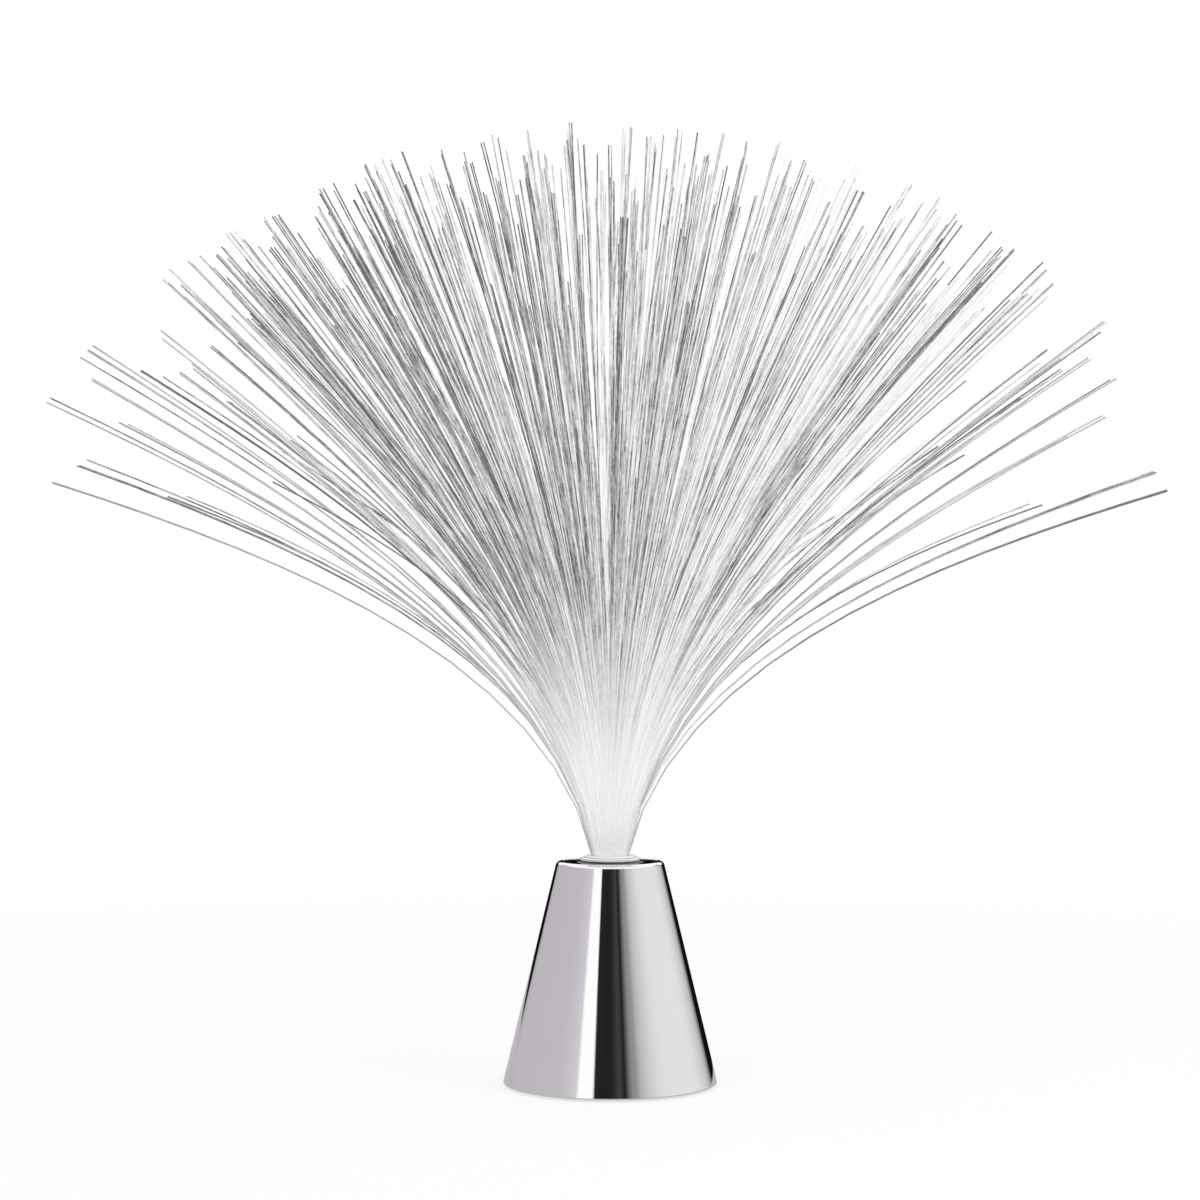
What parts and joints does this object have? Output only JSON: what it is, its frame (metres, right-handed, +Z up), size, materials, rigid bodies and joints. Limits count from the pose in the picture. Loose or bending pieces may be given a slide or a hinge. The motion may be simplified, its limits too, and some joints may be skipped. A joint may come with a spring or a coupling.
{
  "type": "fibre optic table lamp",
  "caption": "Battery fibre optic table lamp: a mirror-bright plated cone holding a dome-shaped spray of clear plastic fibres.",
  "frame": {"origin": "on the surface the lamp stands on, under the middle of the cone", "axes": "+Z up along the cone's axis; the battery door's hinge edge faces -Y; the switch lies towards +X"},
  "size_m": [0.3945, 0.3933, 0.3301],
  "materials": {
    "chrome_plate": "mirror-bright chrome plating on moulded plastic",
    "black_plastic": "moulded, fine satin",
    "clear_plastic": "clear, polished",
    "clear_fibre": "clear drawn fibre, glossy",
    "rubber": "matt",
    "zinc_steel": "bright zinc plated",
    "nickel_steel": "nickel plated, satin",
    "cell_sleeve": "printed film sleeve, plain",
    "board_laminate": "solder-masked glass laminate",
    "chip_plastic": "moulded, matt",
    "resistor_ceramic": "matt",
    "red_lead": "insulation, satin",
    "black_lead": "insulation, satin",
    "red_lens": "tinted clear, polished",
    "green_lens": "tinted clear, polished",
    "blue_lens": "tinted clear, polished"
  },
  "bodies": {
    "base": {"cone_shell": "chrome_plate", "base_plate": "black_plastic", "neck_socket": "black_plastic", "switch_body": "nickel_steel", "led_board": "board_laminate", "driver_chip": "chip_plastic", "led_red": "red_lens", "led_green": "green_lens", "led_blue": "blue_lens", "positive_terminal": "nickel_steel", "negative_terminal": "nickel_steel", "link_contact_1": "nickel_steel", "link_contact_2": "nickel_steel", "lead_cells_to_switch": "red_lead", "lead_switch_to_board": "red_lead", "lead_cells_to_board": "black_lead", "base_screw_1": "zinc_steel", "rubber_foot_1": "rubber", "base_screw_2": "zinc_steel", "rubber_foot_2": "rubber", "base_screw_3": "zinc_steel", "rubber_foot_3": "rubber", "base_screw_4": "zinc_steel", "rubber_foot_4": "rubber", "dry_cell_1": "cell_sleeve", "led_resistor_1": "resistor_ceramic", "dry_cell_2": "cell_sleeve", "led_resistor_2": "resistor_ceramic", "dry_cell_3": "cell_sleeve", "led_resistor_3": "resistor_ceramic", "switch_screw_1": "zinc_steel", "board_screw_1": "zinc_steel", "switch_screw_2": "zinc_steel", "board_screw_2": "zinc_steel"},
    "collar": {"neck_collar": "clear_plastic"},
    "spray": {"bundle_ferrule": "clear_plastic", "fibre_bundle": "clear_fibre", "fibre_spray_1": "clear_fibre", "fibre_spray_2": "clear_fibre", "fibre_spray_3": "clear_fibre"},
    "switch_slider": {"switch_slider": "black_plastic"},
    "battery_door": {"battery_door": "black_plastic"}
  },
  "joints": [
    {"name": "collar_turn", "type": "hinge", "parent": "base", "child": "collar", "pos_m": [0, 0, 0.078], "axis": [0, 0, 1], "continuous": true},
    {"name": "spray_lift", "type": "slide", "parent": "collar", "child": "spray", "axis": [0, 0, 1], "range_m": [0, 0.03]},
    {"name": "power_switch", "type": "slide", "parent": "base", "child": "switch_slider", "axis": [0, 1, 0], "range_m": [0, 0.004]},
    {"name": "door_hinge", "type": "hinge", "parent": "base", "child": "battery_door", "pos_m": [0, -0.0234, 0.0021], "axis": [-1, 0, 0], "range_deg": [0, 95]}
  ]
}
